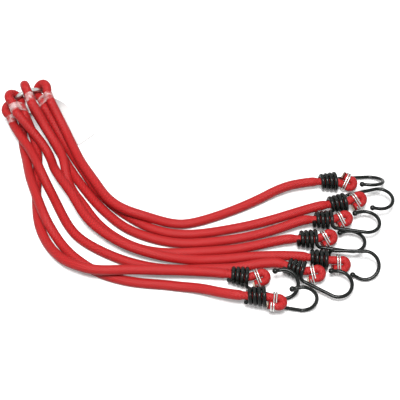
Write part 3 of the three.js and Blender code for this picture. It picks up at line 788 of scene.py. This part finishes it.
# %% Tree that stands a rod on every point
SHORTEST_SHARE = 0.65
LONGEST_SHARE = 1.1
rod_tree = bpy.data.node_groups.new("rods on points", "GeometryNodeTree")
rod_tree.interface.new_socket("Points", in_out="INPUT", socket_type="NodeSocketGeometry")
rod_inputs = {}
for name, kind in (("Length", "Float"), ("Foot", "Float"), ("Tip", "Float"), ("Sides", "Int"), ("Seed", "Int"),
                   ("Finish", "Material")):
    rod_inputs[name] = rod_tree.interface.new_socket(name, in_out="INPUT", socket_type="NodeSocket" + kind)
rod_tree.interface.new_socket("Rods", in_out="OUTPUT", socket_type="NodeSocketGeometry")
given = rod_tree.nodes.new("NodeGroupInput")
rod = rod_tree.nodes.new("GeometryNodeMeshCone")
lean = rod_tree.nodes.new("GeometryNodeInputNamedAttribute")
lean.data_type = "FLOAT_VECTOR"
lean.inputs[0].default_value = "lean"
aim = rod_tree.nodes.new("FunctionNodeAlignRotationToVector")
aim.axis = "Z"
vary = rod_tree.nodes.new("FunctionNodeRandomValue")
vary.data_type = "FLOAT"
low, high = [socket for socket in vary.inputs if socket.type == "VALUE"][:2]
low.default_value, high.default_value = SHORTEST_SHARE, LONGEST_SHARE
stretch = rod_tree.nodes.new("ShaderNodeCombineXYZ")
stretch.inputs[0].default_value = stretch.inputs[1].default_value = 1.0
plant = rod_tree.nodes.new("GeometryNodeInstanceOnPoints")
real = rod_tree.nodes.new("GeometryNodeRealizeInstances")
smooth = rod_tree.nodes.new("GeometryNodeSetShadeSmooth")
dressed = rod_tree.nodes.new("GeometryNodeSetMaterial")
made = rod_tree.nodes.new("NodeGroupOutput")
link = rod_tree.links.new
link(given.outputs["Sides"], rod.inputs["Vertices"])
link(given.outputs["Length"], rod.inputs["Depth"])
link(given.outputs["Foot"], rod.inputs["Radius Bottom"])
link(given.outputs["Tip"], rod.inputs["Radius Top"])
link(given.outputs["Seed"], vary.inputs["Seed"])
link(next(s for s in vary.outputs if s.type == "VALUE" and s.enabled), stretch.inputs[2])
link(next(s for s in lean.outputs if s.enabled), aim.inputs["Vector"])
link(given.outputs["Points"], plant.inputs["Points"])
link(rod.outputs["Mesh"], plant.inputs["Instance"])
link(aim.outputs[0], plant.inputs["Rotation"])
link(stretch.outputs[0], plant.inputs["Scale"])
link(plant.outputs[0], real.inputs[0])
link(real.outputs[0], smooth.inputs[0])
link(smooth.outputs[0], dressed.inputs[0])
link(given.outputs["Finish"], dressed.inputs["Material"])
link(dressed.outputs[0], made.inputs[0])
print("rod tree:", len(rod_tree.nodes), "nodes")


# %% Points in, plain mesh of rods out
def rods(name, points, leans, **settings):
    data = bpy.data.meshes.new(name + " points")
    data.from_pydata([placed(*point) for point in points], [], [])
    directions = data.attributes.new("lean", "FLOAT_VECTOR", "POINT")
    for entry, direction in zip(directions.data, leans):
        entry.vector = direction
    holder = put(name + " points", data)
    modifier = holder.modifiers.new("rods", "NODES")
    modifier.node_group = rod_tree
    for key, value in settings.items():
        modifier[rod_inputs[key].identifier] = value
    return as_mesh(holder, name)


# %% Rubber bundle and frayed braid of the eight ends
STRAND_RADIUS = 0.42
STRAND_SIDES = 8
STRAND_CIRCLES = ((1, 6), (2, 12))
FRAY_LENGTHS = (2.7, 2.0, 2.0, 2.7, 2.7, 0.9, 0.9, 1.9)
FRAY_COUNT = 90
FRAY_START = CUT_END + 0.4
FRAY_EDGE = GRIP_RADIUS - 0.1
FRAY_DEPTH = 0.8
FRAY_SPLAY = (-0.2, 0.5)
FRAY_FOOT = 0.28
FRAY_TIP = 0.04
FRAY_SIDES = 5
for number, arm in enumerate(ARMS, 1):
    chance = Random(number)
    turned = knot_frame(arm)
    turn = turned.to_3x3()
    backwards = turn @ Vector((-1, 0, 0))
    feet = [(0, 0)]
    for layer, count in STRAND_CIRCLES:
        feet += [(2 * STRAND_RADIUS * layer * math.cos(2 * math.pi * i / count),
                  2 * STRAND_RADIUS * layer * math.sin(2 * math.pi * i / count)) for i in range(count)]
    foot_place = CUT_END - CLEARANCE
    points = [turned @ Vector((foot_place, 2 * FOLD_RADIUS + u, v)) for u, v in feet]
    core = rods(f"rubber_strands_{number}", points, [backwards] * len(points), Length=CORE_LENGTH * MM,
                Foot=STRAND_RADIUS * MM, Tip=STRAND_RADIUS * MM, Sides=STRAND_SIDES, Seed=number, Finish=rubber)
    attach(core, "cords")
    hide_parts(f"core_end_{number}")
    points, leans = [], []
    for i in range(FRAY_COUNT):
        angle = 2 * math.pi * (i + chance.random()) / FRAY_COUNT
        reach = FRAY_EDGE - FRAY_DEPTH * chance.random()
        radial = Vector((0, math.cos(angle), math.sin(angle)))
        points.append(turned @ (Vector((FRAY_START, 2 * FOLD_RADIUS, 0)) + radial * reach))
        leans.append(turn @ (radial * chance.uniform(*FRAY_SPLAY) - Vector((1, 0, 0))))
    fray = rods(f"frayed_braid_{number}", points, leans, Length=FRAY_LENGTHS[number - 1] * MM,
                Foot=FRAY_FOOT * MM, Tip=FRAY_TIP * MM, Sides=FRAY_SIDES, Seed=number, Finish=braid)
    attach(fray, "cords")
print("last end:", len(core.data.polygons), "and", len(fray.data.polygons), "faces")

# %% [markdown]
# ## The film sleeves
# A turn of thin film holds the two legs of a fold together. It follows a racetrack round both legs, is a little
# uneven at its edges, and wrinkles most halfway between them. A closed loft of outer and inner rings gives it a real
# wall.

# %% Sleeves
SLEEVE_INNER = CORD_RADIUS + CLEARANCE / 2
SLEEVE_WALL = 0.4
SLEEVE_SEED = 40
SLEEVE_ROWS = 12
SLEEVE_STEPS = 22
EDGE_REACH = 0.8
EDGE_WAVES = ((0.5, 3), (0.3, 7))
WRINKLE_DEPTH = 0.12
WRINKLE_WAVES = 9
WRINKLE_SLANT = 6
for number in range(CORD_COUNT):
    chance = Random(SLEEVE_SEED + number)
    phase = [chance.uniform(0, 2 * math.pi) for _ in range(3)]
    loops = []
    outer = [(i / SLEEVE_ROWS, SLEEVE_INNER + SLEEVE_WALL) for i in range(SLEEVE_ROWS + 1)]
    inner = [(share, SLEEVE_INNER) for share, radius in reversed(outer)]
    radial = fold_frame(number)[1]
    side = OUTWARD.cross(radial)
    shape = bmesh.new()
    for share, radius in outer + inner:
        loop = []
        outline = racetrack(LEG_OFFSET, radius, SLEEVE_STEPS)
        for k, (u, v) in enumerate(outline):
            angle = 2 * math.pi * k / len(outline)
            edge = sum(size * math.sin(waves * angle + start) for (size, waves), start in zip(EDGE_WAVES, phase))
            along = SLEEVE_START + SLEEVE_LENGTH * share + edge * EDGE_REACH * (2 * share - 1)
            wave = math.sin(WRINKLE_WAVES * angle + WRINKLE_SLANT * share + phase[2]) * math.sin(math.pi * share)
            out = Vector((0, 0))
            if radius > SLEEVE_INNER:
                out = Vector((u, v)).normalized() * WRINKLE_DEPTH * (1 + wave)
            place = fold_point(number, along, u + out.x) + side * (v + out.y)
            loop.append(shape.verts.new(placed(*place)))
        loops.append(loop)
    for a, b in zip(loops, loops[1:] + loops[:1]):
        for k in range(len(a)):
            n = (k + 1) % len(a)
            shape.faces.new((a[k], a[n], b[n], b[k])).smooth = True
    bmesh.ops.recalc_face_normals(shape, faces=shape.faces)
    data = bpy.data.meshes.new(f"film_sleeve_{number + 1}")
    shape.to_mesh(data)
    shape.free()
    data.materials.append(film)
    sleeve = put(data.name, data)
    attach(sleeve, "cords")
    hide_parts(f"sleeve_{number + 1}")
print("sleeve:", len(sleeve.data.polygons), "faces")

# %% [markdown]
# ## The bare tag
# A plain card hangs from the fourth sleeve and comes to lie on the table. It is one strip that is narrow at the
# sleeve and widens over its first six tenths. Its long edges curl up a little near its middle, and the corners at its
# end are cut back. Its two faces are laid out as rows of points and joined by their edges.

# %% Tag
TAG_FOLD = 3
TAG_ROUTE = [(-128, 95, 13), (-121, 87, 5), (-113, 79, 1), (-103, 69, 0)]
TAG_THICKNESS = 0.6
TAG_HALF_WIDTH = 11
TAG_HALF_WALL = 0.2
TAG_GAP = 2 * CLEARANCE + 0.5
TAG_LEAD = 5
TAG_SPACING = 1.4
TAG_COLUMNS = 12
NARROW_SHARE = 0.3
WIDENING_SHARE = 0.6
CURL = 0.5
CORNER_ROWS = 2
CORNER_CUT = 0.09
LOWEST_UNDER = 0.05
LOWEST_TOP = 0.4
END_POINTS = 9
SHARP_ANGLE = math.radians(40)
away = fold_frame(TAG_FOLD)[1].cross(OUTWARD)
tag_root = fold_point(TAG_FOLD, (SLEEVE_START + SLEEVE_END) / 2, 0) + away * (CORD_RADIUS + TAG_GAP)
tag_points = [tag_root, tag_root + away * TAG_LEAD]
tag_points += [Vector((x, y, height + TAG_THICKNESS)) for x, y, height in TAG_ROUTE]
tag_line = spline(tag_points, TAG_SPACING)
run = tag_line[-1] - tag_line[-END_POINTS]
run.z = 0
wide = Vector((-run.y, run.x, 0)).normalized()
shape = bmesh.new()
faces_of_card = []
for sign in (1, -1):
    rows = []
    for i, point in enumerate(tag_line):
        tangent = (tag_line[min(i + 1, len(tag_line) - 1)] - tag_line[max(i - 1, 0)]).normalized()
        across = (wide - tangent * wide.dot(tangent)).normalized()
        thick = tangent.cross(across)
        share = smooth_step(i / (len(tag_line) - 1) / WIDENING_SHARE)
        rows_left = len(tag_line) - 1 - i
        half = TAG_HALF_WIDTH * (NARROW_SHARE + (1 - NARROW_SHARE) * share)
        half *= 1 - CORNER_CUT * max(0, CORNER_ROWS - rows_left)
        row = []
        for k in range(TAG_COLUMNS + 1):
            w = 2 * k / TAG_COLUMNS - 1
            lift = CURL * share * w * w * (1 - i / len(tag_line))
            place = point + across * w * half + thick * (sign * TAG_HALF_WALL + lift)
            place.z = max(place.z, LOWEST_UNDER if sign < 0 else LOWEST_TOP)
            row.append(shape.verts.new(placed(*place)))
        rows.append(row)
    faces_of_card.append(rows)
top, under = faces_of_card
for rows in (top, under):
    for a, b in zip(rows, rows[1:]):
        for k in range(TAG_COLUMNS):
            shape.faces.new((a[k], a[k + 1], b[k + 1], b[k]))
rims = [(top[0], under[0]), (top[-1], under[-1]), ([r[0] for r in top], [r[0] for r in under]),
        ([r[-1] for r in top], [r[-1] for r in under])]
for a, b in rims:
    for k in range(len(a) - 1):
        shape.faces.new((a[k], a[k + 1], b[k + 1], b[k]))
bmesh.ops.recalc_face_normals(shape, faces=shape.faces)
for face in shape.faces:
    face.smooth = True
data = bpy.data.meshes.new("bare_tag")
shape.to_mesh(data)
shape.free()
data.materials.append(card)
data.set_sharp_from_angle(angle=SHARP_ANGLE)
tag = put("bare_tag", data)
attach(tag, "tag")
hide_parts("tag")
print("tag:", len(tag.data.polygons), "faces")

# %% [markdown]
# ## The length of each cord
# Each cord is a free length of elastic rope, and its ends are held by the clips. Its real length is measured along
# its own line and printed.

for number, (piece, path, length) in enumerate(cords):
    print(piece.name, "declared", round(length, 3), "m")

# %% [markdown]
# ## Floor, light and world
# The strap lies on a pale studio floor that the camera sees as white. Light Path tells the floor and the world which
# rays come from the camera or a reflection, and only those see pure white, so the light on the strap stays plain.
# For the camera alone the floor also shines faintly, which keeps the shadows light and the far floor white. A large
# lamp above and in front gives the soft streak along the top of each cord, and a weak one behind lifts the far side.

# %% Studio
FLOOR_HALF = 3
FLOOR_DEPTH = 0.2 * MM
FLOOR_GLOW = 0.2


def white_for_camera(tree):
    path_kind = tree.nodes.new("ShaderNodeLightPath")
    seen = math_node(tree, "MAXIMUM", path_kind.outputs["Is Camera Ray"], path_kind.outputs["Is Glossy Ray"])
    return math_node(tree, "MAXIMUM", seen, path_kind.outputs["Is Transmission Ray"])


floor_data = bpy.data.meshes.new("floor")
corners = [(FLOOR_HALF * x, FLOOR_HALF * y, -FLOOR_DEPTH) for x, y in ((-1, -1), (1, -1), (1, 1), (-1, 1))]
floor_data.from_pydata(corners, [], [(0, 1, 2, 3)])
floor = put("floor", floor_data)
floor_finish, tree, shader = finish("pale floor", (0.8, 0.8, 0.8), roughness=0.9)
tree.links.new(mixed(tree, white_for_camera(tree), (0.24, 0.24, 0.24), (1.0, 1.0, 1.0)), shader.inputs["Base Color"])
shader.inputs["Specular IOR Level"].default_value = 0.0
shader.inputs["Emission Color"].default_value = (1, 1, 1, 1)
camera_ray = tree.nodes.new("ShaderNodeLightPath").outputs["Is Camera Ray"]
tree.links.new(math_node(tree, "MULTIPLY", camera_ray, FLOOR_GLOW), shader.inputs["Emission Strength"])
floor_data.materials.append(floor_finish)

world = bpy.data.worlds.new("studio")
world.use_nodes = True
bpy.context.scene.world = world
tree = world.node_tree
sky = tree.nodes["Background"]
tree.links.new(mixed(tree, white_for_camera(tree), (0.17, 0.17, 0.17), (1.0, 1.0, 1.0)), sky.inputs["Color"])


def lamp(name, place, size, power):
    light = bpy.data.lights.new(name, "AREA")
    light.shape = "DISK"
    light.size = size
    light.energy = power
    holder = put(name, light)
    holder.location = place
    holder.rotation_euler = (-holder.location).to_track_quat("-Z", "Y").to_euler()


lamp("top lamp", place=(-0.05, -0.4, 1.25), size=0.5, power=24)
lamp("back lamp", place=(-0.2, 0.7, 1.0), size=0.4, power=2)
bpy.context.scene.view_settings.view_transform = "Standard"
